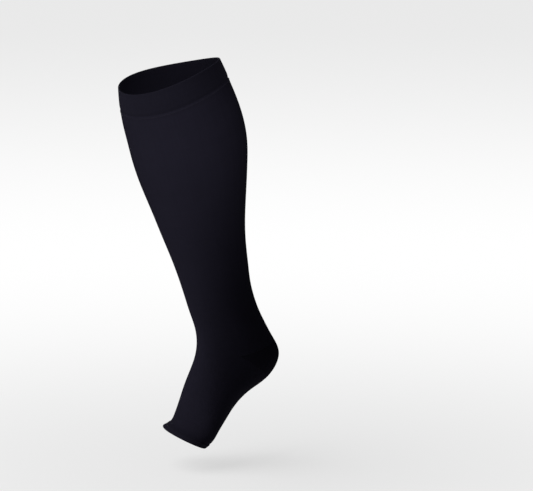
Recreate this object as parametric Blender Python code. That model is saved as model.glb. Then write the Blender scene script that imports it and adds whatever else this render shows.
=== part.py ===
"""Open-toe compression stocking, below the knee, in the form it has on a right leg
with a lifted heel. It is hollow: a knitted wall with a band round the top opening,
a heel pocket let into the back, and a hem round the open toe.

Run with: blender --background --python part.py
"""

from collections import namedtuple
from math import cos, pi, radians, sin

import bmesh
import bpy
import numpy as np
from mathutils import Vector

# Driving dimensions, in millimetres and degrees. The origin is the middle of the top
# opening. +Z is up, the toes point toward -Y, and the inner side of the leg faces +X.
# A name that ends in WAVE holds how far a line round the stocking waves down and up,
# twice round, and an angle from the front at which it is lowest.
MM = 0.001
SEAM_GAP = 0.3
KNIT_WALL = 1.1

# The folded welts: the band round the top opening, and the hem round the open toe.
# A welt stands proud of the knit outside and inside, and has a ridge at its seam.
WELT_INSIDE = 0.2
RIDGE_WIDTH = 0.9
BAND_HEIGHT = 26.3
BAND_PROUD = 0.4
BAND_RIDGE = 0.1
RIM_WAVE = (3.3, 33.0)
BAND_SEAM_WAVE = (3.8, 48.0)
HEM_WIDTH = 7.0
HEM_PROUD = 0.4
HEM_RIDGE = 0.15

# The heel pocket: an angle from the front and a distance down the stocking for the
# points at its sides, and how far its edges rise and drop from there to its back.
HEEL_POINT_ANGLE = 75.0
HEEL_POINT_DOWN = 355.0
HEEL_RISE = 27.0
HEEL_DROP = 17.0

# The toe edge: its distance down the stocking, and how much further it reaches on
# the inner side of the foot, and on top of it.
TOE_DOWN = 471.4
TOE_INNER_REACH = 8.6
TOE_TOP_REACH = 3.7
TOE_WAVE = (1.0, -25.0)

# The mesh: faces round the leg, and rows of them along each stretch of it.
COLUMNS = 48
COLUMN_ANGLE = 360 / COLUMNS
ANGLES = [COLUMN_ANGLE * i for i in range(COLUMNS)]
BAND_ROWS = 4
LEG_ROWS = 20
ANKLE_ROWS = 6
ANKLE_DOWN = 292.0
HEEL_ROWS = 7
HEEL_POINT_INSET = 0.12 * COLUMN_ANGLE
INSTEP_ROWS = 6
INSTEP_DOWN = 412.0
FOREFOOT_ROWS = 4
HEM_ROWS = 2
FOLD_TURNS = (90, 45, 0, -45, -90)
SLOPE_REACH = 0.5

# The knit's colour in each piece: near-black navy, darkest in the denser heel.
COLOURS = {
    "top_band": (0.0105, 0.0100, 0.0165, 1.0),
    "leg": (0.0116, 0.0110, 0.0180, 1.0),
    "heel_pocket": (0.0085, 0.0080, 0.0135, 1.0),
    "foot": (0.0116, 0.0110, 0.0180, 1.0),
    "toe_hem": (0.0120, 0.0114, 0.0185, 1.0),
}
KNIT_ROUGHNESS = 0.85
SHARP_ANGLE = 40.0

# One row for each section across the stocking, from the rim to past the toe hem.
# down: distance along the stocking; x, y, z: middle of the section; tilt: rise of
# its plane from front to back, in degrees; depth, width: its size from front to back
# (instep to sole in the foot) and from side to side; fullness: how much its widest
# place lies behind its middle.
Section = namedtuple("Section", "down x y z tilt depth width fullness")
SECTIONS = (
    Section(0.0, 0.0, 0.0, 0.0, 17.4, 125.0, 119.0, 0.02),
    Section(32.0, 0.0, 9.1, -30.9, 17.0, 137.4, 121.0, 0.03),
    Section(63.5, 0.0, 19.1, -60.5, 15.5, 142.2, 125.0, 0.04),
    Section(94.5, 0.0, 26.8, -90.6, 13.0, 140.8, 125.0, 0.05),
    Section(124.5, 0.0, 32.3, -120.3, 12.0, 130.3, 120.0, 0.05),
    Section(155.0, 0.0, 38.2, -149.9, 12.0, 116.9, 109.0, 0.04),
    Section(186.0, 0.0, 44.3, -180.5, 12.5, 103.9, 96.0, 0.03),
    Section(217.5, 0.0, 51.9, -211.1, 14.0, 93.0, 84.0, 0.01),
    Section(249.0, 0.0, 59.8, -241.9, 14.0, 86.1, 74.5, 0.0),
    Section(275.0, 0.0, 66.2, -267.0, 13.5, 83.0, 66.7, 0.0),
    Section(293.0, 0.0, 72.0, -284.1, 5.0, 85.3, 62.8, 0.0),
    Section(310.5, 0.0, 79.3, -300.1, -3.0, 92.6, 61.0, 0.0),
    Section(329.0, 0.0, 87.3, -317.0, -7.5, 102.3, 60.6, 0.0),
    Section(346.5, 0.0, 91.9, -333.4, -11.2, 110.4, 61.8, 0.0),
    Section(370.0, 0.0, 82.2, -355.0, -20.5, 97.8, 65.6, 0.02),
    Section(389.0, 0.0, 68.2, -368.3, -24.0, 79.0, 70.0, 0.05),
    Section(417.0, 0.0, 50.1, -389.8, -27.5, 60.4, 76.0, 0.08),
    Section(433.5, 0.0, 41.7, -404.1, -29.0, 51.8, 81.0, 0.10),
    Section(452.0, 0.0, 32.8, -420.0, -30.0, 44.0, 84.0, 0.10),
    Section(462.0, -0.6, 27.2, -428.5, -30.5, 43.2, 85.0, 0.10),
    Section(473.5, -2.5, 16.4, -434.7, -31.0, 49.0, 88.0, 0.10),
)


def smooth_curve(places, values):
    """Return the natural cubic spline through values at places, as a function."""
    places, values = np.array(places), np.array(values)
    steps = np.diff(places)
    slopes = np.diff(values) / steps
    count = len(places)
    system, right = np.eye(count), np.zeros(count)
    for i in range(1, count - 1):
        system[i, i - 1:i + 2] = steps[i - 1], 2 * (steps[i - 1] + steps[i]), steps[i]
        right[i] = 6 * (slopes[i] - slopes[i - 1])
    bends = np.linalg.solve(system, right)

    def value(place):
        i = int(np.clip(np.searchsorted(places, place) - 1, 0, count - 2))
        before, after, step = place - places[i], places[i + 1] - place, steps[i]
        return float(
            (bends[i] * after ** 3 + bends[i + 1] * before ** 3) / (6 * step)
            + (values[i] / step - bends[i] * step / 6) * after
            + (values[i + 1] / step - bends[i + 1] * step / 6) * before
        )

    return value


CURVES = {
    field: smooth_curve([row.down for row in SECTIONS], [getattr(row, field) for row in SECTIONS])
    for field in Section._fields[1:]
}


def surface_point(angle, down):
    """Return the point of the worn surface at an angle round the leg, in degrees
    from the front toward the inner side, and at a distance down the stocking."""
    section = {field: curve(down) for field, curve in CURVES.items()}
    turn, tilt = radians(angle), radians(section["tilt"])
    back = -0.5 * section["depth"] * cos(turn)
    side = 0.5 * section["width"] * sin(turn) * (1 - section["fullness"] * cos(turn))
    middle = Vector((section["x"], section["y"], section["z"]))
    return middle + Vector((side, back * cos(tilt), back * sin(tilt)))


def wall_point(angle, down, out):
    """Return the point that lies a distance outside the worn surface."""
    before, after = angle - SLOPE_REACH, angle + SLOPE_REACH
    around = surface_point(after, down) - surface_point(before, down)
    along = surface_point(angle, down + SLOPE_REACH) - surface_point(angle, down - SLOPE_REACH)
    return surface_point(angle, down) + out * along.cross(around).normalized()


# A line round the stocking is a function from an angle to a distance down it.

def level(down):
    """Return the line that lies at one distance down the stocking."""
    return lambda angle: down


def wave(angle, height, lowest):
    """Return how far below its middle a wave lies that goes twice round."""
    return height * cos(2 * radians(angle - lowest))


def rim(angle):
    return wave(angle, *RIM_WAVE)


def band_seam(angle):
    return BAND_HEIGHT + wave(angle, *BAND_SEAM_WAVE)


def beside(line, distance):
    """Return the line that runs a distance below another, measured on the surface."""
    def moved(angle):
        down = line(angle)
        above, below = down - SLOPE_REACH, down + SLOPE_REACH
        stretch = (surface_point(angle, below) - surface_point(angle, above)).length
        return down + distance * (below - above) / stretch

    return moved


def between(start, end, share):
    """Return the line that lies a share of the way from one line to another."""
    return lambda angle: (1 - share) * start(angle) + share * end(angle)


def lines_between(start, end, rows):
    """Return the lines that part a stretch of the stocking into even rows."""
    return [between(start, end, i / rows) for i in range(rows + 1)]


def heel_spread(angle):
    """Return 0 in front of the heel's side points, growing to 1 at the heel's back."""
    from_front = min(angle, 360 - angle)
    share = (from_front - HEEL_POINT_ANGLE) / (180 - HEEL_POINT_ANGLE)
    return sin(0.5 * pi * max(0.0, share))


def leg_end(angle):
    return HEEL_POINT_DOWN - HEEL_RISE * heel_spread(angle)


def foot_start(angle):
    return HEEL_POINT_DOWN + HEEL_DROP * heel_spread(angle)


def toe_edge(angle):
    turn = radians(angle)
    slant = TOE_INNER_REACH * sin(turn) + TOE_TOP_REACH * cos(turn)
    return TOE_DOWN + slant + wave(angle, *TOE_WAVE)


# A wall's outline is closed, and made of (line, out) pairs: outside, then inside.

def knit_outline(lines):
    """Return the outline of a single knit wall."""
    return [(line, 0.0) for line in lines] + [(line, -KNIT_WALL) for line in reversed(lines)]


def welt_outline(free_edge, seam, width, outer, ridge, rows):
    """Return the outline of a folded welt, round at its free edge, with a low ridge
    along its seam."""
    inner = -KNIT_WALL - WELT_INSIDE
    radius, middle = (outer - inner) / 2, (outer + inner) / 2
    ridge_end = width - 2.5 * RIDGE_WIDTH
    profile = [
        (width, middle + radius / 2),
        (width - 0.5 * RIDGE_WIDTH, outer + ridge),
        (width - 1.5 * RIDGE_WIDTH, outer + ridge),
        (ridge_end, outer),
    ]
    profile += [(ridge_end + (radius - ridge_end) * i / rows, outer) for i in range(1, rows)]
    for turn in map(radians, FOLD_TURNS):
        profile.append((radius * (1 - cos(turn)), middle + radius * sin(turn)))
    profile += [(radius + (width - radius) * i / rows, inner) for i in range(1, rows + 1)]
    return [(between(free_edge, seam, distance / width), out) for distance, out in profile]


def knit_material(name):
    material = bpy.data.materials.new(name + "_knit")
    material.use_nodes = True
    shader = material.node_tree.nodes["Principled BSDF"]
    shader.inputs["Base Color"].default_value = COLOURS[name]
    shader.inputs["Roughness"].default_value = KNIT_ROUGHNESS
    shader.inputs["Metallic"].default_value = 0.0
    return material


def add_piece(name, builder):
    """Turn a filled bmesh, in millimetres, into a smooth-shaded object in metres."""
    bmesh.ops.scale(builder, vec=(MM, MM, MM), verts=builder.verts)
    bmesh.ops.recalc_face_normals(builder, faces=builder.faces)
    mesh = bpy.data.meshes.new(name)
    builder.to_mesh(mesh)
    builder.free()
    mesh.materials.append(knit_material(name))
    mesh.shade_smooth()
    mesh.set_sharp_from_angle(angle=radians(SHARP_ANGLE))
    bpy.context.scene.collection.objects.link(bpy.data.objects.new(name, mesh))


def add_loop_faces(builder, loops):
    """Join each loop of points to the next one with a closed strip of faces."""
    count = len(loops[0])
    for loop, next_loop in zip(loops, loops[1:]):
        for i in range(count):
            j = (i + 1) % count
            builder.faces.new((loop[i], loop[j], next_loop[j], next_loop[i]))


def add_tube(name, outline):
    """Add a piece that goes all the way round: its wall's outline swept round the leg."""
    builder = bmesh.new()
    rings = [
        [builder.verts.new(wall_point(angle, line(angle), out)) for angle in ANGLES]
        for line, out in outline
    ]
    add_loop_faces(builder, rings + rings[:1])
    add_piece(name, builder)


def add_heel_pocket():
    """Add the heel: a lens let in between the leg and the foot, pointed at each side."""
    half_gap = SEAM_GAP / 2
    lines = lines_between(beside(leg_end, half_gap), beside(foot_start, -half_gap), HEEL_ROWS)
    outline = knit_outline(lines)
    builder = bmesh.new()
    columns = [
        [builder.verts.new(wall_point(angle, line(angle), out)) for line, out in outline]
        for angle in ANGLES if heel_spread(angle) > 0
    ]
    add_loop_faces(builder, columns)
    point_angle = HEEL_POINT_ANGLE + HEEL_POINT_INSET
    for angle, column in ((point_angle, columns[0]), (360 - point_angle, columns[-1])):
        outer, inner = (
            builder.verts.new(wall_point(angle, HEEL_POINT_DOWN, out)) for out in (0.0, -KNIT_WALL)
        )
        outside, inside = column[:len(lines)], column[len(lines):]
        for i in range(HEEL_ROWS):
            builder.faces.new((outer, outside[i], outside[i + 1]))
            builder.faces.new((inner, inside[i], inside[i + 1]))
        builder.faces.new((outer, outside[-1], inside[0], inner))
        builder.faces.new((inner, inside[-1], outside[0], outer))
    add_piece("heel_pocket", builder)


for old_object in list(bpy.data.objects):
    bpy.data.objects.remove(old_object)

add_tube("top_band", welt_outline(
    rim, band_seam, BAND_HEIGHT, BAND_PROUD, BAND_RIDGE, BAND_ROWS))

ankle = level(ANKLE_DOWN)
leg_lines = lines_between(beside(band_seam, SEAM_GAP), ankle, LEG_ROWS)
leg_lines += lines_between(ankle, beside(leg_end, -SEAM_GAP / 2), ANKLE_ROWS)[1:]
add_tube("leg", knit_outline(leg_lines))

add_heel_pocket()

instep, hem_seam = level(INSTEP_DOWN), beside(toe_edge, -HEM_WIDTH)
foot_lines = lines_between(beside(foot_start, SEAM_GAP / 2), instep, INSTEP_ROWS)
foot_lines += lines_between(instep, beside(hem_seam, -SEAM_GAP), FOREFOOT_ROWS)[1:]
add_tube("foot", knit_outline(foot_lines))

add_tube("toe_hem", welt_outline(
    toe_edge, hem_seam, HEM_WIDTH, HEM_PROUD, HEM_RIDGE, HEM_ROWS))
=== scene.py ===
"""Open-toe compression stocking for the right leg, in the form it has when worn.

It follows the stocking as it is knitted, from the top down: the band, the leg and
foot, the heel pocket, and the hem round the open toe. Lengths are in metres and
angles in degrees. +Z is up, the toes point toward -Y, and the inner side faces +X.
"""

from collections import namedtuple

import bmesh
import bpy
import numpy as np
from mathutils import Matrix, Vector


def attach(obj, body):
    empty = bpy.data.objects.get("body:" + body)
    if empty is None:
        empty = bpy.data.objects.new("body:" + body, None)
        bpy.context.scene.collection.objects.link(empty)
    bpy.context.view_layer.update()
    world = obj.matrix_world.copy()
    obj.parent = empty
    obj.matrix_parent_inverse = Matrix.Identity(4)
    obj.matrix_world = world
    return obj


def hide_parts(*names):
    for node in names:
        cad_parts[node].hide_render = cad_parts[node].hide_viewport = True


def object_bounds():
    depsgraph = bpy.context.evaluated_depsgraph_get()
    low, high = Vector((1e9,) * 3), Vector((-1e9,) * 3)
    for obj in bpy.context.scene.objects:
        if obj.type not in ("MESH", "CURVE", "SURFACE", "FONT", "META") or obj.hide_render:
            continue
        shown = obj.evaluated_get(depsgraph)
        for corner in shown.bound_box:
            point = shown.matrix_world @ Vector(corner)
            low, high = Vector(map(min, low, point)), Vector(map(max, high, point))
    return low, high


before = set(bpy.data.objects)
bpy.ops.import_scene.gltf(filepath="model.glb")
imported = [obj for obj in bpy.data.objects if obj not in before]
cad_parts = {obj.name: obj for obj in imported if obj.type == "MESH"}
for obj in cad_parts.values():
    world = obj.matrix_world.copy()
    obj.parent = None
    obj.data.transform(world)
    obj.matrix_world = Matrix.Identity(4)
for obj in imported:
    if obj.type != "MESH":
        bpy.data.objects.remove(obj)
cad_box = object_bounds()
bpy.context.scene.view_settings.view_transform = "Standard"


# ------------------------------------------------------------------ the top band
# The band round the top opening is knitted double, in polyamide wound on elastane.
# The knit turns over at the rim and is linked to the leg below. The linking draws in
# the cloth at the seam, and its row of loops lies on a fine ridge just below it.

MM = 0.001
BAND_HEIGHT = 26.3 * MM
BAND_PROUD = 0.4 * MM
BAND_INSIDE = 1.3 * MM
BAND_CROWN = 0.15 * MM
GROOVE_DEPTH = 0.60 * MM
GROOVE_WIDTH = 2.5 * MM
GROOVE_REACH = 7.0 * MM
GROOVE_ROWS = 28
BAND_ROWS = 24
INSIDE_ROWS = 6
FOLD_ROWS = 8
SEAM_TURN = 0.05 * MM
BAND_COLOUR = (0.0096, 0.0089, 0.0151, 1.0)
BAND_RELIEF = 0.8
BAND_SHEEN = 0.012

# How far the band's rim and its seam wave down and up on the leg, twice round, and
# an angle from the front at which each is lowest.
RIM_WAVE = (3.3 * MM, 33.0)
SEAM_WAVE = (3.8 * MM, 48.0)

# The knit has one wale for each needle all round, so that a wale is widest at the
# calf, and a course for each turn of the machine.
WALES = 360
COURSE = 0.55 * MM
KNIT_MAP = "knit"
COLUMNS = 144
ROUND = np.linspace(0.0, 360.0, COLUMNS + 1)

# The worn form, as sections across the stocking from the rim to past the toe hem.
# down: distance along the stocking; x, y, z: middle of the section; tilt: rise of
# its plane from front to back; depth, width: its size from front to back (instep to
# sole in the foot) and from side to side; fullness: how much its widest place lies
# behind its middle.
Section = namedtuple("Section", "down x y z tilt depth width fullness")
SECTIONS = (
    Section(0.0000, 0.0000, 0.0000, 0.0000, 17.4, 0.1250, 0.1190, 0.02),
    Section(0.0320, 0.0000, 0.0091, -0.0309, 17.0, 0.1374, 0.1210, 0.03),
    Section(0.0635, 0.0000, 0.0191, -0.0605, 15.5, 0.1422, 0.1250, 0.04),
    Section(0.0945, 0.0000, 0.0268, -0.0906, 13.0, 0.1408, 0.1250, 0.05),
    Section(0.1245, 0.0000, 0.0323, -0.1203, 12.0, 0.1303, 0.1200, 0.05),
    Section(0.1550, 0.0000, 0.0382, -0.1499, 12.0, 0.1169, 0.1090, 0.04),
    Section(0.1860, 0.0000, 0.0443, -0.1805, 12.5, 0.1039, 0.0960, 0.03),
    Section(0.2175, 0.0000, 0.0519, -0.2111, 14.0, 0.0930, 0.0840, 0.01),
    Section(0.2490, 0.0000, 0.0598, -0.2419, 14.0, 0.0861, 0.0745, 0.00),
    Section(0.2750, 0.0000, 0.0662, -0.2670, 13.5, 0.0830, 0.0667, 0.00),
    Section(0.2930, 0.0000, 0.0720, -0.2841, 5.0, 0.0853, 0.0628, 0.00),
    Section(0.3105, 0.0000, 0.0793, -0.3001, -3.0, 0.0926, 0.0610, 0.00),
    Section(0.3290, 0.0000, 0.0873, -0.3170, -7.5, 0.1023, 0.0606, 0.00),
    Section(0.3465, 0.0000, 0.0919, -0.3334, -11.2, 0.1104, 0.0618, 0.00),
    Section(0.3700, 0.0000, 0.0822, -0.3550, -20.5, 0.0978, 0.0656, 0.02),
    Section(0.3890, 0.0000, 0.0682, -0.3683, -24.0, 0.0790, 0.0700, 0.05),
    Section(0.4170, 0.0000, 0.0501, -0.3898, -27.5, 0.0604, 0.0760, 0.08),
    Section(0.4335, 0.0000, 0.0417, -0.4041, -29.0, 0.0518, 0.0810, 0.10),
    Section(0.4520, 0.0000, 0.0328, -0.4200, -30.0, 0.0440, 0.0840, 0.10),
    Section(0.4620, -0.0006, 0.0272, -0.4285, -30.5, 0.0432, 0.0850, 0.10),
    Section(0.4735, -0.0025, 0.0164, -0.4347, -31.0, 0.0490, 0.0880, 0.10),
)
TURN_STEP = 0.5
DOWN_STEP = 0.5 * MM


def smooth_curve(places, values):
    """Return the natural cubic spline through values at places, as a function."""
    places, values = np.array(places), np.array(values)
    steps = np.diff(places)
    slopes = np.diff(values) / steps
    count = len(places)
    system, right = np.eye(count), np.zeros(count)
    for i in range(1, count - 1):
        system[i, i - 1:i + 2] = steps[i - 1], 2 * (steps[i - 1] + steps[i]), steps[i]
        right[i] = 6 * (slopes[i] - slopes[i - 1])
    bends = np.linalg.solve(system, right)

    def value(place):
        i = np.clip(np.searchsorted(places, place) - 1, 0, count - 2)
        before, after, step = place - places[i], places[i + 1] - place, steps[i]
        return (
            (bends[i] * after ** 3 + bends[i + 1] * before ** 3) / (6 * step)
            + (values[i] / step - bends[i] * step / 6) * after
            + (values[i + 1] / step - bends[i + 1] * step / 6) * before
        )

    return value


CURVES = {
    field: smooth_curve([row.down for row in SECTIONS], [getattr(row, field) for row in SECTIONS])
    for field in Section._fields[1:]
}


def worn_surface(angle, down):
    """Return points of the worn form, at angles round the leg from the front toward
    the inner side, and at distances down the stocking."""
    angle, down = np.broadcast_arrays(angle, down)
    section = {field: curve(down) for field, curve in CURVES.items()}
    turn, tilt = np.radians(angle), np.radians(section["tilt"])
    back = -0.5 * section["depth"] * np.cos(turn)
    side = 0.5 * section["width"] * np.sin(turn) * (1 - section["fullness"] * np.cos(turn))
    return np.stack((
        section["x"] + side,
        section["y"] + back * np.cos(tilt),
        section["z"] + back * np.sin(tilt),
    ), axis=-1)


def unit(ways):
    return ways / np.linalg.norm(ways, axis=-1, keepdims=True)


def outward(angle, down):
    """Return the directions straight out of the worn form."""
    along = worn_surface(angle, down + DOWN_STEP) - worn_surface(angle, down - DOWN_STEP)
    around = worn_surface(angle + TURN_STEP, down) - worn_surface(angle - TURN_STEP, down)
    return unit(np.cross(along, around))


def wall_points(angle, down, out):
    """Return points at distances outside the worn form."""
    return worn_surface(angle, down) + np.asarray(out)[..., None] * outward(angle, down)


def wave(angle, height, lowest):
    """Return how far below its middle a wave lies that goes twice round."""
    return height * np.cos(2 * np.radians(angle - lowest))


# A line round the stocking is a function from angles to distances down it.

def beside(line, distance):
    """Return the line that runs a distance below another, measured on the cloth."""
    def moved(angle):
        down = line(angle)
        above, below = worn_surface(angle, down - DOWN_STEP), worn_surface(angle, down + DOWN_STEP)
        return down + distance * 2 * DOWN_STEP / np.linalg.norm(below - above, axis=-1)

    return moved


def between(start, end, share):
    """Return the line that lies a share of the way from one line to another."""
    return lambda angle: (1 - share) * start(angle) + share * end(angle)


class Cloth:
    """A piece of knit in the making: rows of points on the worn form, and strips of
    faces between them. Its map counts wales round the leg and courses along it."""

    SAME_POINT = 0.001 * MM
    SHARP_ANGLE = 50.0

    def __init__(self):
        self.mesh = bmesh.new()
        self.map = self.mesh.loops.layers.uv.new(KNIT_MAP)

    def row(self, line, out, course, angles=ROUND):
        """Add a row of points along a line, a distance out of the worn form. Return
        the points with their places in the knit."""
        places = wall_points(angles, line(angles), out)
        points = [self.mesh.verts.new(place) for place in places]
        courses = np.broadcast_to(course, angles.shape)
        return list(zip(points, zip(angles * WALES / 360, courses)))

    def strip(self, row, next_row, finish=0):
        """Add the faces between two rows. They face out where the second row is lower."""
        for corners in zip(row, next_row, next_row[1:], row[1:]):
            face = self.mesh.faces.new([point for point, _ in corners])
            face.material_index = finish
            for loop, (_, place) in zip(face.loops, corners):
                loop[self.map].uv = place

    def finished(self, name, *finishes):
        """Join the points that meet, and return the piece, shaded smooth."""
        bmesh.ops.remove_doubles(self.mesh, verts=self.mesh.verts, dist=self.SAME_POINT)
        mesh = bpy.data.meshes.new(name)
        self.mesh.to_mesh(mesh)
        self.mesh.free()
        mesh.shade_smooth()
        mesh.set_sharp_from_angle(angle=np.radians(self.SHARP_ANGLE))
        return add_piece(name, mesh, *finishes)


def add_piece(name, mesh, *finishes):
    """Add an object that shows a mesh in its finishes, and return it."""
    for finish in finishes:
        mesh.materials.append(finish)
    piece = bpy.data.objects.new(name, mesh)
    bpy.context.scene.collection.objects.link(piece)
    return piece


def welt_outline(outside, inside, width):
    """Return the outline of a folded welt, as distances from its free edge and out:
    up the inside from the seam, over the fold, and down the given outside."""
    radius, middle = (outside[0][1] + inside) / 2, (outside[0][1] - inside) / 2
    within = [(along, -inside) for along in np.linspace(width, radius, INSIDE_ROWS + 1)[:-1]]
    turns = np.radians(np.linspace(-90.0, 90.0, FOLD_ROWS + 1))
    fold = [(radius * (1 - np.cos(turn)), middle + radius * np.sin(turn)) for turn in turns]
    return within + fold + outside[1:] + [(width, middle), within[0]]


def lay_welt(outline, free_edge, seam, width):
    """Return the cloth of a welt with an outline, all the way round the leg."""
    cloth = Cloth()
    along, out = np.transpose(outline)
    steps = np.hypot(np.diff(along, prepend=along[0]), np.diff(out, prepend=out[0]))
    courses = np.cumsum(steps) / COURSE
    rows = [
        cloth.row(between(free_edge, seam, share), *place)
        for share, *place in zip(along / width, out, courses)]
    for row, next_row in zip(rows, rows[1:]):
        cloth.strip(row, next_row)
    return cloth


def bump(place, middle, width):
    """Return a smooth bump of height 1 about a middle."""
    return np.exp(-((place - middle) / width) ** 2)


def arch(place, start, end):
    """Return an arch of height 1 that springs from a start and an end."""
    return np.sin(np.pi * (place - start) / (end - start))


def groove(distance):
    """Return how far the linking draws in the cloth, beside the band's seam."""
    return GROOVE_DEPTH * bump(distance, 0.0, GROOVE_WIDTH)


def band_outside():
    """Return the band's outside, as distances from its rim and out."""
    start = (BAND_PROUD + BAND_INSIDE) / 2
    plain = np.linspace(start, BAND_HEIGHT - GROOVE_REACH, BAND_ROWS)
    drawn_in = np.linspace(BAND_HEIGHT - GROOVE_REACH, BAND_HEIGHT - SEAM_TURN, GROOVE_ROWS)
    along = np.concatenate((plain, drawn_in[1:]))
    crown = BAND_CROWN * arch(along, start, BAND_HEIGHT)
    return list(zip(along, BAND_PROUD + crown - groove(BAND_HEIGHT - along)))


class Signal:
    """A node's output, on which sums in a finish are written as plain expressions."""

    def __init__(self, finish, socket):
        self.finish, self.socket = finish, socket

    def maths(self, operation, *values):
        return self.finish.node("ShaderNodeMath", {"operation": operation}, values)

    def __add__(self, other):
        return self.maths("ADD", self, other)

    def __sub__(self, other):
        return self.maths("SUBTRACT", self, other)

    def __rsub__(self, other):
        return self.maths("SUBTRACT", other, self)

    def __mul__(self, other):
        return self.maths("MULTIPLY", self, other)

    def __truediv__(self, other):
        return self.maths("DIVIDE", self, other)

    def __neg__(self):
        return self.maths("MULTIPLY", self, -1.0)

    __radd__, __rmul__ = __add__, __mul__

    def whole(self):
        return self.maths("FLOOR", self)

    def part(self):
        return self.maths("FRACT", self)

    def size(self):
        return self.maths("ABSOLUTE", self)

    def log(self):
        return self.maths("LOGARITHM", self, np.e)

    def exp(self):
        return self.maths("EXPONENT", self)

    def wave(self):
        """Return a smooth wave between 0 and 1, once for each whole number."""
        return 0.5 + 0.5 * self.maths("SINE", 2 * np.pi * self)


class Finish:
    """A material in the making, with a method that adds any node to it."""

    def __init__(self, name, **constants):
        self.material = bpy.data.materials.new(name)
        self.material.use_nodes = True
        self.tree = self.material.node_tree
        self.shader = self.tree.nodes["Principled BSDF"]
        for socket, value in constants.items():
            self.drive(socket.replace("_", " "), value)

    def node(self, kind, settings, inputs, output=0):
        """Add a node: its settings first, then the values or links of its sockets, by
        place or by name. Return one of its outputs."""
        made = self.tree.nodes.new(kind)
        for setting, value in settings.items():
            setattr(made, setting, value)
        for socket, value in (inputs.items() if isinstance(inputs, dict) else enumerate(inputs)):
            self.feed(made.inputs[socket], value)
        return Signal(self, made.outputs[output])

    def feed(self, socket, value):
        if isinstance(value, Signal):
            self.tree.links.new(value.socket, socket)
        else:
            socket.default_value = value

    def drive(self, socket, value):
        self.feed(self.shader.inputs[socket], value)

    def spot(self):
        """Return the place on the piece, in metres."""
        return self.node("ShaderNodeTexCoord", {}, (), output=3)

    def chance(self, number):
        """Return a fixed random share for each whole number."""
        return self.node("ShaderNodeTexWhiteNoise", {"noise_dimensions": "1D"}, {"W": number})

    def blend(self, share, first, second):
        """Mix two colours by a share, at the sockets that a Mix node has for colours."""
        return self.node(
            "ShaderNodeMix", {"data_type": "RGBA"}, {0: share, 6: first, 7: second}, output=2)

    def relief(self, height, depth, strength):
        """Raise the surface by a height between 0 and 1."""
        self.drive("Normal", self.node(
            "ShaderNodeBump", {}, {"Strength": strength, "Distance": depth, "Height": height}))


def shaded(colour, share):
    """Return a colour made lighter or darker."""
    return tuple(share * part for part in colour[:3]) + (1.0,)


# The knit's sheen, relief and roughness. On its face a wale's round back has a share of
# the height, on its reverse the laid-in yarns have one, and the loops have the rest.
FILAMENT_SHEEN = (0.75, 0.72, 1.0, 1.0)
PLAIN_SHEEN = 0.002
WALE_SHARE = 0.62
LOOP_SLANT = 0.38
LAID_YARN_SHARE = 0.6
LOOP_DEPTH = 0.10 * MM
LOOP_RELIEF = 0.7
HOLLOW_ROUGHNESS = 0.88
CREST_POLISH = 0.10

# What the colour is multiplied by in the hollows, as painted shade, and how much it
# changes up to the crests, as painted light, from one yarn to another, and in soft
# clouds a few centimetres wide.
PAINTED_HOLLOW_SHADE = 0.84
PAINTED_CREST_LIGHT = 0.20
YARN_TONE = 0.06
CLOUD_TONE = 0.16
COURSES_ALIKE = 4


def knit_finish(name, colour, relief=1.0, sheen=PLAIN_SHEEN, reverse=False):
    """Return the finish of a fine knit: round-backed wales of slanting loops on its
    face, and laid-in yarns between low bumps on its reverse."""
    finish = Finish(
        name, Specular_IOR_Level=0.02, Sheen_Weight=sheen, Sheen_Roughness=0.5,
        Sheen_Tint=FILAMENT_SHEEN)
    place = finish.node("ShaderNodeUVMap", {"uv_map": KNIT_MAP}, ())
    wale = finish.node("ShaderNodeSeparateXYZ", {}, (place,), output=0)
    course = finish.node("ShaderNodeSeparateXYZ", {}, (place,), output=1)
    if reverse:
        bumps = (wale + 0.5 * course.whole()).wave()
        height = course.wave() * (LAID_YARN_SHARE + (1 - LAID_YARN_SHARE) * bumps)
    else:
        across = 2 * (wale.part() - 0.5).size()
        loops = (course + LOOP_SLANT * across).wave()
        height = (1 - across * across) * (WALE_SHARE + (1 - WALE_SHARE) * loops)
    clouds = finish.node(
        "ShaderNodeTexNoise", {},
        {"Vector": finish.spot(), "Scale": 38.0, "Detail": 3.0, "Roughness": 0.55})
    wale_yarn = finish.chance(wale.whole())
    course_yarn = finish.chance((course / COURSES_ALIKE).whole() + 0.5)
    yarns = wale_yarn - 0.5 + 0.5 * (course_yarn - 0.5)
    # The colour is painted darker in the knit's hollows and lighter on its crests, as painted
    # shade and light; the yarns and the clouds vary it at random.
    tone = PAINTED_HOLLOW_SHADE + PAINTED_CREST_LIGHT * height + YARN_TONE * yarns + CLOUD_TONE * (clouds - 0.5)
    # The mix spans half of the colour to one and a half, so that a tone of 1 is as given.
    finish.drive("Base Color", finish.blend(tone - 0.5, shaded(colour, 0.5), shaded(colour, 1.5)))
    finish.drive("Roughness", HOLLOW_ROUGHNESS - CREST_POLISH * height)
    finish.relief(height, LOOP_DEPTH, LOOP_RELIEF * relief)
    return finish.material


FIBRE_DEPTH = 0.05 * MM
FIBRE_RELIEF = 0.5
FIBRE_TONES = (0.75, 1.25)
YARN_ROUGHNESS = 0.7
FIBRE_POLISH = 0.15


def yarn_finish(name, colour):
    """Return the finish of bare yarn: fine filaments with a slight lustre."""
    finish = Finish(
        name, Specular_IOR_Level=0.05, Sheen_Weight=0.003, Sheen_Roughness=0.4,
        Sheen_Tint=FILAMENT_SHEEN)
    fibres = finish.node(
        "ShaderNodeTexNoise", {}, {"Vector": finish.spot(), "Scale": 2600.0, "Detail": 2.0})
    dark, light = (shaded(colour, tone) for tone in FIBRE_TONES)
    finish.drive("Base Color", finish.blend(fibres, dark, light))
    finish.drive("Roughness", YARN_ROUGHNESS - FIBRE_POLISH * fibres)
    finish.relief(fibres, FIBRE_DEPTH, FIBRE_RELIEF)
    return finish.material


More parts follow.
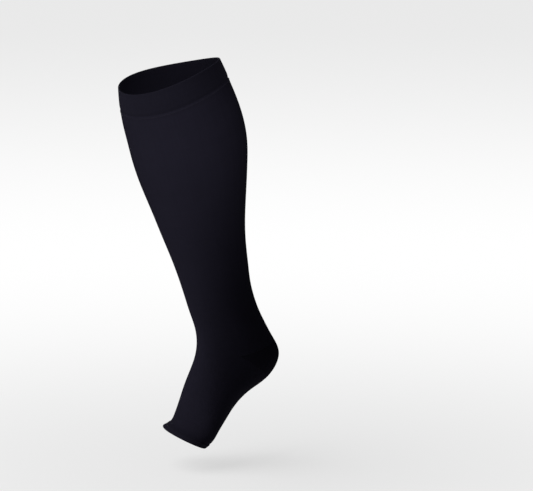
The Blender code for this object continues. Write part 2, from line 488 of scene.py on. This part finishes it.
# A linking row is a line of loops, each of two legs: short lengths of yarn that lean
# to either side of the line, widest in the middle. A loop's sizes are half of a leg's
# length, breadth and height, and its lean is the angle of a leg to the line.
Loop = namedtuple("Loop", "length breadth height lean")
BAND_LOOP = Loop(0.55 * MM, 0.22 * MM, 0.18 * MM, 38.0)
# The band's loops are coloured lighter than the band: partly the yarn's own colour, partly a
# painted highlight along the ridge below the seam.
BAND_LOOP_YARN_AND_HIGHLIGHT = (0.0162, 0.0151, 0.0243, 1.0)
LOOPS_BELOW_SEAM = 2.4 * MM
LOOPS_OUT = 0.25 * MM
LEG_STATIONS = np.array([-1.0, -0.8, -0.35, 0.35, 0.8, 1.0])
LEG_SIDES = 6
LEG_END = 0.97
LEG_SPREAD = 0.62


def yarn_leg(loop):
    """Return the points of one leg, in rings along X, with the faces of its sides and
    of its ends."""
    around = np.arange(LEG_SIDES) * 2 * np.pi / LEG_SIDES
    station, turn = np.meshgrid(LEG_STATIONS, around, indexing="ij")
    fullness = np.sqrt(1 - (LEG_END * station) ** 2)
    points = np.stack((
        loop.length * station,
        loop.breadth * fullness * np.cos(turn),
        loop.height * fullness * np.sin(turn),
    ), axis=-1).reshape(-1, 3)
    rings = np.arange(len(points)).reshape(-1, LEG_SIDES)
    turned = np.roll(rings, -1, axis=1)
    sides = np.stack((rings[:-1], turned[:-1], turned[1:], rings[1:]), axis=-1).reshape(-1, 4)
    ends = np.array((rings[0, ::-1], rings[-1]))
    return points, (sides, ends)


def add_linking(name, line, out, angles, loop, finish):
    """Add a row of loops at angles along a line, a distance out of the worn form."""
    points, faces = yarn_leg(loop)
    middle = wall_points(angles, line(angles), out)
    up = outward(angles, line(angles))
    before, after = angles - TURN_STEP, angles + TURN_STEP
    ahead = unit(worn_surface(after, line(after)) - worn_surface(before, line(before)))
    below = np.cross(up, ahead)
    legs = []
    for slant in np.radians((-loop.lean, loop.lean)):
        axis = np.cos(slant) * ahead + np.sin(slant) * below
        axes = np.stack((axis, np.cross(up, axis), up), axis=1)
        foot = middle + LEG_SPREAD * loop.length * np.sin(slant) * below
        legs.append(foot[:, None] + points @ axes)
    first = np.arange(2 * len(angles))[:, None, None] * len(points)
    sides, ends = ((first + part).reshape(-1, part.shape[1]).tolist() for part in faces)
    mesh = bpy.data.meshes.new(name)
    mesh.from_pydata(np.concatenate(legs).reshape(-1, 3).tolist(), [], sides + ends)
    mesh.shade_smooth()
    return add_piece(name, mesh, finish)


def rim(angle):
    return wave(angle, *RIM_WAVE)


def band_seam(angle):
    return BAND_HEIGHT + wave(angle, *SEAM_WAVE)


band_outline = welt_outline(band_outside(), BAND_INSIDE, BAND_HEIGHT)
band_finish = knit_finish("band_double_knit", BAND_COLOUR, BAND_RELIEF, BAND_SHEEN)
band = lay_welt(band_outline, rim, band_seam, BAND_HEIGHT).finished("band_welt", band_finish)
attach(band, "root")
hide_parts("top_band")

each_wale = np.arange(WALES) * 360 / WALES
# The row of loops below the seam, in yarn painted lighter as a highlight on its ridge.
band_linking = add_linking(
    "band_linking", beside(band_seam, LOOPS_BELOW_SEAM), LOOPS_OUT, each_wale, BAND_LOOP,
    yarn_finish("linking_yarn", BAND_LOOP_YARN_AND_HIGHLIGHT))
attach(band_linking, "root")


# ------------------------------------------------------------- the leg and foot
# The leg and the foot are one round knit, in plain loops with an elastic yarn laid
# into every course, and narrowest at the ankle. At the back of the ankle it parts
# for the heel pocket, and closes again under it.

# The tube's two ends are tucked under the band and the hem, so that no gap shows.
KNIT_WALL = 1.1 * MM
TUCK = 0.7 * MM
TUCK_DEPTH = 0.6 * MM
LEG_SHOULDER = 0.3 * MM
LEG_RIDGE = 0.22 * MM
LEG_RIDGE_WIDTH = 0.8 * MM
ANKLE_DOWN = 0.292
INSTEP_DOWN = 0.412
LEG_ROWS = 120
ANKLE_ROWS = 30
INSTEP_ROWS = 30
FOREFOOT_ROWS = 24
LEG_COLOUR = (0.0120, 0.0110, 0.0188, 1.0)
REVERSE_COLOUR = (0.0092, 0.0087, 0.0142, 1.0)

# The heel's side points, and how far its edges rise and drop from them at the back.
HEEL_POINT_ANGLE = 75.0
HEEL_POINT_DOWN = 0.355
HEEL_RISE = 0.027
HEEL_DROP = 0.017
HEEL_POINT_COLUMN = round(HEEL_POINT_ANGLE / 360 * COLUMNS)
BEHIND = slice(HEEL_POINT_COLUMN, COLUMNS + 1 - HEEL_POINT_COLUMN)
ALL_ROUND = slice(None)

HEM_WIDTH = 7.0 * MM
TOE_DOWN = 0.4714
TOE_INNER_REACH = 8.6 * MM
TOE_TOP_REACH = 3.7 * MM
TOE_WAVE = (1.0 * MM, -25.0)


def level(down):
    """Return the line that lies at one distance down the stocking."""
    return lambda angle: np.full(np.shape(angle), down)


def heel_spread(angle):
    """Return 0 in front of the heel's side points, growing to 1 at the heel's back."""
    from_front = np.minimum(angle, 360 - angle)
    share = (from_front - HEEL_POINT_ANGLE) / (180 - HEEL_POINT_ANGLE)
    return np.sin(0.5 * np.pi * np.maximum(0.0, share))


def leg_end(angle):
    return HEEL_POINT_DOWN - HEEL_RISE * heel_spread(angle)


def foot_start(angle):
    return HEEL_POINT_DOWN + HEEL_DROP * heel_spread(angle)


def toe_edge(angle):
    turn = np.radians(angle)
    slant = TOE_INNER_REACH * np.sin(turn) + TOE_TOP_REACH * np.cos(turn)
    return TOE_DOWN + slant + wave(angle, *TOE_WAVE)


def lines_between(start, end, rows):
    return [between(start, end, i / rows) for i in range(rows + 1)]


def add_wall(cloth, outside, inside, top_edge, bottom_edge):
    """Add a wall of knit: the strips between its rows on both sides, and the stretches
    of its upper and lower edges that are free."""
    for row, next_row in zip(outside, outside[1:]):
        cloth.strip(row, next_row)
    for row, next_row in zip(inside, inside[1:]):
        cloth.strip(next_row, row, finish=1)
    cloth.strip(inside[0][top_edge], outside[0][top_edge])
    cloth.strip(outside[-1][bottom_edge], inside[-1][bottom_edge])


def shoulder(distance):
    """Return how far out the leg stands below the band's seam: it swells from the
    groove, with a ridge under the row of loops."""
    swell = LEG_SHOULDER * (0.5 + 0.5 * np.cos(np.pi * distance / GROOVE_REACH))
    ridge = LEG_RIDGE * bump(distance, LOOPS_BELOW_SEAM, LEG_RIDGE_WIDTH)
    return swell + ridge - groove(distance)


# Each line round the knit goes with its distance out of the worn form.
ankle, instep = level(ANKLE_DOWN), level(INSTEP_DOWN)
hem_seam = beside(toe_edge, -HEM_WIDTH)
leg_lines = [(beside(band_seam, -TUCK), -TUCK_DEPTH)]
for distance in np.linspace(0.0, GROOVE_REACH, GROOVE_ROWS):
    leg_lines.append((beside(band_seam, distance), shoulder(distance)))
plain_lines = lines_between(beside(band_seam, GROOVE_REACH), ankle, LEG_ROWS)[1:]
plain_lines += lines_between(ankle, leg_end, ANKLE_ROWS)[1:]
leg_lines += [(line, 0.0) for line in plain_lines]
foot_lines = lines_between(foot_start, instep, INSTEP_ROWS)
foot_lines += lines_between(instep, beside(hem_seam, TUCK), FOREFOOT_ROWS)[1:]
foot_lines = [(line, 0.0) for line in foot_lines]

tube = Cloth()
stretches = ((leg_lines, ALL_ROUND, BEHIND), (foot_lines, BEHIND, ALL_ROUND))
for lines, top_edge, bottom_edge in stretches:
    outside = [tube.row(line, out, line(0.0) / COURSE) for line, out in lines]
    inside = [tube.row(line, out - KNIT_WALL, line(0.0) / COURSE) for line, out in lines]
    add_wall(tube, outside, inside, top_edge, bottom_edge)
leg = tube.finished(
    "leg_and_foot_knit", knit_finish("leg_plain_knit", LEG_COLOUR),
    knit_finish("leg_reverse", REVERSE_COLOUR, reverse=True))
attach(leg, "root")
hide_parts("leg", "foot")


# --------------------------------------------------------------- the heel pocket
# The heel is a pocket knitted to and fro on the back half of the needles, in a
# doubled yarn that makes it denser and darker. It ends in a point at each side of
# the ankle, and a row of loops joins its edges to the leg and the foot.

HEEL_ROWS = 40
HEEL_PROUD = 0.10 * MM
HEEL_COLOUR = (0.0087, 0.0079, 0.0138, 1.0)
HEEL_REVERSE_SHADE = 0.9
HEEL_RELIEF = 1.2
HEEL_LOOP = Loop(0.42 * MM, 0.17 * MM, 0.12 * MM, 30.0)
HEEL_LOOP_COLOUR = (0.0100, 0.0094, 0.0155, 1.0)

# The courses are counted from either edge to the middle, where the pocket is turned.
pocket = Cloth()
behind = ROUND[BEHIND]
outside, inside = [], []
for share in np.linspace(0.0, 1.0, HEEL_ROWS + 1):
    line = between(leg_end, foot_start, share)
    course = (0.5 - abs(share - 0.5)) * (foot_start(behind) - leg_end(behind)) / COURSE
    rise = HEEL_PROUD * np.sqrt(np.sin(np.pi * share) * heel_spread(behind))
    outside.append(pocket.row(line, rise, course, behind))
    inside.append(pocket.row(line, -KNIT_WALL, course, behind))
add_wall(pocket, outside, inside, ALL_ROUND, ALL_ROUND)
heel = pocket.finished(
    "heel_pocket_knit", knit_finish("heel_dense_knit", HEEL_COLOUR, HEEL_RELIEF),
    knit_finish("heel_reverse", shaded(HEEL_COLOUR, HEEL_REVERSE_SHADE), reverse=True))
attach(heel, "root")
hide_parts("heel_pocket")

heel_wales = each_wale[abs(each_wale - 180) <= 180 - HEEL_POINT_ANGLE]
heel_yarn = yarn_finish("heel_join_yarn", HEEL_LOOP_COLOUR)
for edge, line in (("upper", leg_end), ("lower", foot_start)):
    join = add_linking(f"heel_join_{edge}", line, 0.0, heel_wales, HEEL_LOOP, heel_yarn)
    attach(join, "root")


# ------------------------------------------------------------------ the toe hem
# The open toe ends in a narrow welt, turned under and linked like the band above.
# Its edge slants, and reaches further on the inner side of the foot.

HEM_PROUD = 0.4 * MM
HEM_INSIDE = 1.3 * MM
HEM_CROWN = 0.10 * MM
HEM_RIDGE = 0.16 * MM
HEM_RIDGE_FROM_SEAM = 1.0 * MM
HEM_RIDGE_WIDTH = 0.7 * MM
HEM_DIP = 0.5 * HEM_PROUD
HEM_DIP_WIDTH = 0.35 * MM
HEM_ROWS = 18
HEM_COLOUR = (0.0144, 0.0134, 0.0222, 1.0)
HEM_LOOP = Loop(0.36 * MM, 0.15 * MM, 0.12 * MM, 35.0)
HEM_LOOP_COLOUR = (0.0138, 0.0129, 0.0207, 1.0)


def hem_outside():
    """Return the hem's outside, as distances from its free edge and out."""
    start = (HEM_PROUD + HEM_INSIDE) / 2
    along = np.linspace(start, HEM_WIDTH - SEAM_TURN, HEM_ROWS)
    from_seam = HEM_WIDTH - along
    crown = HEM_CROWN * arch(along, start, HEM_WIDTH)
    ridge = HEM_RIDGE * bump(from_seam, HEM_RIDGE_FROM_SEAM, HEM_RIDGE_WIDTH)
    dip = HEM_DIP * bump(from_seam, 0.0, HEM_DIP_WIDTH)
    return list(zip(along, HEM_PROUD + crown + ridge - dip))


# The hem's free edge is its lower one, so its outline is laid the other way round.
hem_outline = welt_outline(hem_outside(), HEM_INSIDE, HEM_WIDTH)[::-1]
hem_finish = knit_finish("hem_knit", HEM_COLOUR)
hem = lay_welt(hem_outline, toe_edge, hem_seam, HEM_WIDTH).finished("toe_welt", hem_finish)
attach(hem, "root")
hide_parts("toe_hem")

hem_linking = add_linking(
    "hem_linking", beside(hem_seam, HEM_RIDGE_FROM_SEAM), HEM_PROUD + HEM_RIDGE, each_wale,
    HEM_LOOP, yarn_finish("hem_linking_yarn", HEM_LOOP_COLOUR))
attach(hem_linking, "root")


# ------------------------------------------------------------------- the studio
# A wide white floor that curves up into a wall far out. It glows by itself in painted
# light, brightest some way off, but for a lit patch below that takes the stocking's
# soft shadow.

FLOOR_CLEARANCE = 0.025
FLOOR_REACH = 9.0
WALL_BEND = 3.0
FLOOR_RINGS = 24
BEND_RINGS = 12
FLOOR_COLUMNS = 96
GLOW_CENTRE = (0.057, 0.099)
BRIGHTEST_REACH = 1.83
BRIGHT_START = 0.137
BRIGHT_SPREAD = 1.12
DIM_TONE = 0.792
LIT_REACH = (0.05, 0.5)
LIT_TONE = 0.25
LIT_LIGHT = 0.63

floor_height = cad_box[0].z - FLOOR_CLEARANCE
profile = [(FLOOR_REACH * (i / FLOOR_RINGS) ** 2, 0.0) for i in range(1, FLOOR_RINGS + 1)]
for turn in np.linspace(0.0, np.pi / 2, BEND_RINGS + 1)[1:]:
    profile.append((FLOOR_REACH + WALL_BEND * np.sin(turn), WALL_BEND * (1 - np.cos(turn))))
builder = bmesh.new()
rings = [
    [builder.verts.new((reach * np.cos(turn), reach * np.sin(turn), floor_height + height))
     for turn in np.arange(FLOOR_COLUMNS) * 2 * np.pi / FLOOR_COLUMNS]
    for reach, height in profile
]
builder.faces.new(rings[0])
for ring, next_ring in zip(rings, rings[1:]):
    turned, next_turned = ring[1:] + ring[:1], next_ring[1:] + next_ring[:1]
    for corners in zip(turned, ring, next_ring, next_turned):
        builder.faces.new(corners)
floor_mesh = bpy.data.meshes.new("studio_floor")
builder.to_mesh(floor_mesh)
builder.free()
floor_mesh.shade_smooth()

painted_light_paper = Finish("white_paper", Roughness=1.0, Specular_IOR_Level=0.0, Emission_Strength=1.0)
glow_reach, lit_reach = (
    painted_light_paper.node("ShaderNodeVectorMath", {"operation": "DISTANCE"}, (painted_light_paper.spot(), centre), output=1)
    for centre in ((*GLOW_CENTRE, floor_height), (0.0, 0.0, floor_height)))
offset = ((glow_reach + BRIGHT_START) / (BRIGHTEST_REACH + BRIGHT_START)).log() / BRIGHT_SPREAD
lit = painted_light_paper.node("ShaderNodeMapRange", {"interpolation_type": "SMOOTHSTEP"}, {
    "Value": lit_reach, "From Min": LIT_REACH[0], "From Max": LIT_REACH[1],
    "To Min": LIT_TONE, "To Max": 0.0})
# The paper's painted glow, brightest some way off, is lowered where the lamps light the patch.
glow = DIM_TONE + (1 - DIM_TONE) * (-(offset * offset)).exp() - LIT_LIGHT * lit
painted_light_paper.drive("Base Color", painted_light_paper.node("ShaderNodeCombineColor", {}, (lit, lit, lit)))
painted_light_paper.drive("Emission Color", painted_light_paper.node("ShaderNodeCombineColor", {}, (glow, glow, glow)))

# The floor neither lights nor shades the stocking: two of the lights stand for its glow.
floor = add_piece("studio_floor", floor_mesh, painted_light_paper.material)
floor.visible_diffuse = floor.visible_glossy = floor.visible_shadow = False


# -------------------------------------------------------------------- the light
# Narrow lights on the calf and the sole, broad ones from the toes' side and from above,
# and one from behind. Two from below stand for the floor's glow, the sky for the rest.

CALF = Vector((0.0, 0.03, -0.09))
SOLE = Vector((0.0, 0.035, -0.41))
LAMP_DISTANCE = 1.2
SPOT_RADIUS = 0.1
SKY_STRENGTH = 0.05


def toward(azimuth, elevation):
    """Return a direction, in degrees round from the toes to the inner side, and up."""
    turn, rise = np.radians(azimuth), np.radians(elevation)
    return Vector((np.sin(turn) * np.cos(rise), -np.cos(turn) * np.cos(rise), np.sin(rise)))


def add_lamp(name, kind, place, azimuth, elevation, **settings):
    """Add a lamp that shines on a place from a direction, and return it."""
    lamp = bpy.data.lights.new(name, kind)
    for setting, value in settings.items():
        setattr(lamp, setting, value)
    stand = bpy.data.objects.new(name, lamp)
    stand.rotation_mode = "QUATERNION"
    stand.rotation_quaternion = toward(azimuth, elevation).to_track_quat("Z", "Y")
    stand.location = place + LAMP_DISTANCE * toward(azimuth, elevation)
    bpy.context.scene.collection.objects.link(stand)
    return stand


def add_narrow_light(name, place, azimuth, elevation, energy, cone):
    """Add a spot with a soft edge, in watts, with a cone in degrees."""
    add_lamp(
        name, "SPOT", place, azimuth, elevation, energy=energy, spot_size=np.radians(cone),
        spot_blend=1.0, shadow_soft_size=SPOT_RADIUS)


def add_broad_light(name, azimuth, elevation, energy, spread):
    """Add a light from far off, in watts per square metre, from a patch of sky with a
    width in degrees."""
    return add_lamp(
        name, "SUN", CALF, azimuth, elevation, energy=energy, angle=np.radians(spread))


add_narrow_light("calf_light", CALF, azimuth=70.0, elevation=20.0, energy=39.8, cone=18.0)
add_narrow_light("sole_light", SOLE, azimuth=150.0, elevation=-20.0, energy=19.0, cone=10.0)
add_broad_light("toe_side_light", azimuth=5.0, elevation=5.0, energy=0.80, spread=40.0)
add_broad_light("high_light", azimuth=-25.0, elevation=57.0, energy=2.03, spread=60.0)
add_broad_light("floor_glow_front", azimuth=-8.0, elevation=-44.0, energy=1.42, spread=60.0)
add_broad_light("floor_glow_behind", azimuth=190.0, elevation=-45.0, energy=0.22, spread=60.0)
back_light = add_broad_light(
    "back_light", azimuth=243.0, elevation=2.0, energy=1.7, spread=15.0)
back_light.visible_glossy = False

world = bpy.data.worlds.new("studio")
world.use_nodes = True
sky = world.node_tree.nodes["Background"]
sky.inputs["Color"].default_value = (1.0, 1.0, 1.0, 1.0)
sky.inputs["Strength"].default_value = SKY_STRENGTH
bpy.context.scene.world = world


# ------------------------------------------------------------------- the camera
# A long lens a little above the top of the stocking, a sixth of a circle round from
# the toes to the inner side, looking slightly down. It frames more than the stocking.

CAMERA_AZIMUTH = 60.0
CAMERA_ELEVATION = 8.0
CAMERA_DISTANCE = 3.0
SENSOR_WIDTH = 36.0
PICTURE_WIDTH = 533
PIXEL_SIZE = 0.00117
AIM_RIGHT = 0.114
AIM_DOWN = 0.2007

toward_camera = toward(CAMERA_AZIMUTH, CAMERA_ELEVATION)
right = toward(CAMERA_AZIMUTH + 90.0, 0.0)
up = toward_camera.cross(right)
lens = bpy.data.cameras.new("camera")
lens.sensor_width = SENSOR_WIDTH
lens.lens = CAMERA_DISTANCE / PIXEL_SIZE * SENSOR_WIDTH / PICTURE_WIDTH
camera = bpy.data.objects.new("camera", lens)
camera.rotation_mode = "QUATERNION"
camera.rotation_quaternion = toward_camera.to_track_quat("Z", "Y")
camera.location = AIM_RIGHT * right - AIM_DOWN * up + CAMERA_DISTANCE * toward_camera
bpy.context.scene.collection.objects.link(camera)
bpy.context.scene.camera = camera
